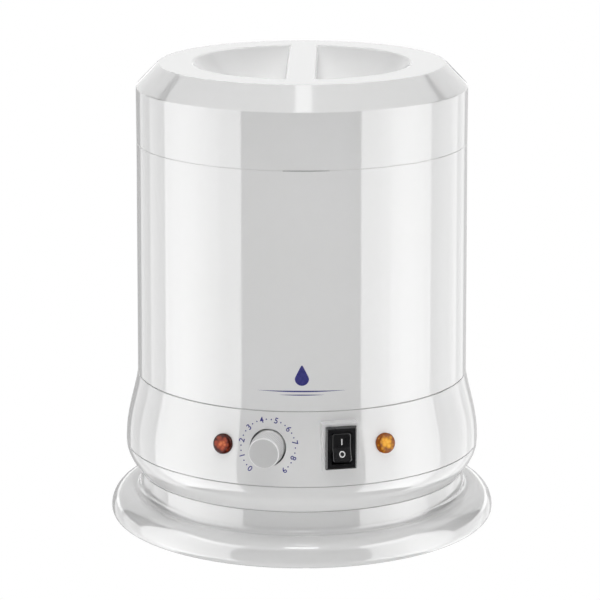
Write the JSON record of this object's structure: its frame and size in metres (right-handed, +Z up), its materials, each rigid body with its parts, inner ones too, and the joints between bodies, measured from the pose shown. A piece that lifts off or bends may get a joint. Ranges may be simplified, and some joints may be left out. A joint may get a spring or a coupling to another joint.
{
  "type": "wax warmer pot",
  "caption": "Round white electric wax heater with lift-off lid, lift-out can with bail, thermostat knob, rocker switch and two neon lamps on a bulged band.",
  "frame": {"origin": "centre of the base, on the table under the rubber feet", "axes": "+Z up; -Y is the front with the knob, switch and lamps; +X is to the right seen from the front"},
  "size_m": [0.194, 0.194, 0.2325],
  "materials": {
    "white_shell": "glossy white heat-resistant plastic",
    "knob_plastic": "glossy white knob plastic",
    "black_plastic": "black switch and inlet plastic",
    "red_lens": "red-brown translucent lamp lens",
    "amber_lens": "amber translucent lamp lens",
    "aluminium": "drawn aluminium",
    "steel": "zinc-plated steel",
    "brass": "plain brass",
    "copper": "copper capillary and bulb",
    "rubber": "black rubber",
    "silicone": "red silicone seal",
    "mica": "mica heater jacket",
    "glass_wool": "glass wool and ceramic fibre",
    "grey_plastic": "grey phenolic moulding",
    "ceramic": "white glazed ceramic",
    "lead_brown": "brown lead",
    "lead_blue": "blue lead",
    "lead_green": "green and yellow lead",
    "lead_white": "white fibreglass lead"
  },
  "bodies": {
    "base": {"amber_lamp_body": "grey_plastic", "amber_lamp_lens": "amber_lens", "base_bowl": "white_shell", "base_plate": "black_plastic", "bracket_screw": "steel", "capillary_tube": "copper", "control_band": "white_shell", "earth_lead": "lead_green", "flange_screws": "steel", "foot_ring": "white_shell", "heat_shield": "aluminium", "heater_band": "mica", "heater_leads": "lead_white", "heater_strap": "steel", "heating_pot": "aluminium", "inlet_housing": "black_plastic", "inlet_pins": "brass", "insulation_pad": "glass_wool", "insulation_sleeve": "glass_wool", "lamp_nuts": "steel", "live_leads": "lead_brown", "neutral_lead": "lead_blue", "outer_shell": "white_shell", "plate_screws": "steel", "pot_seal": "silicone", "red_lamp_body": "grey_plastic", "red_lamp_lens": "red_lens", "rubber_feet": "rubber", "sensor_bulb": "copper", "shield_nuts": "brass", "shield_pillars": "brass", "strap_screw": "steel", "switch_body": "black_plastic", "terminal_block": "ceramic", "terminal_screws": "brass", "thermal_cutout": "grey_plastic", "thermostat_body": "grey_plastic", "thermostat_bracket": "steel", "tie_bolts": "steel", "top_collar": "black_plastic"},
    "lid": {"lid_shell": "white_shell"},
    "can": {"wax_can": "aluminium", "can_ears": "steel", "can_rivets": "aluminium"},
    "bail": {"bail_wire": "steel"},
    "knob": {"knob": "knob_plastic", "thermostat_shaft": "brass"},
    "rocker": {"rocker": "black_plastic"}
  },
  "joints": [
    {"name": "lid_lift", "type": "slide", "parent": "base", "child": "lid", "axis": [0, 0, 1], "range_m": [0, 0.3]},
    {"name": "can_lift", "type": "slide", "parent": "base", "child": "can", "axis": [0, 0, 1], "range_m": [0, 0.15]},
    {"name": "bail_swing", "type": "hinge", "parent": "can", "child": "bail", "pos_m": [0, 0, 0.1925], "axis": [1, 0, 0], "range_deg": [0, 90]},
    {"name": "thermostat_turn", "type": "hinge", "parent": "base", "child": "knob", "pos_m": [-0.01645, -0.08543, 0.0593], "axis": [0.1891, 0.982, 0], "range_deg": [0, 280]},
    {"name": "switch_rock", "type": "hinge", "parent": "base", "child": "rocker", "pos_m": [0.01842, -0.08666, 0.0601], "axis": [0.9781, 0.2079, 0], "range_deg": [0, 22]}
  ],
  "couplings": [
    {"joint": "can_lift", "follows": "lid_lift", "ratio": 0.5},
    {"joint": "bail_swing", "follows": "lid_lift", "rad_per_m": 5.2}
  ]
}
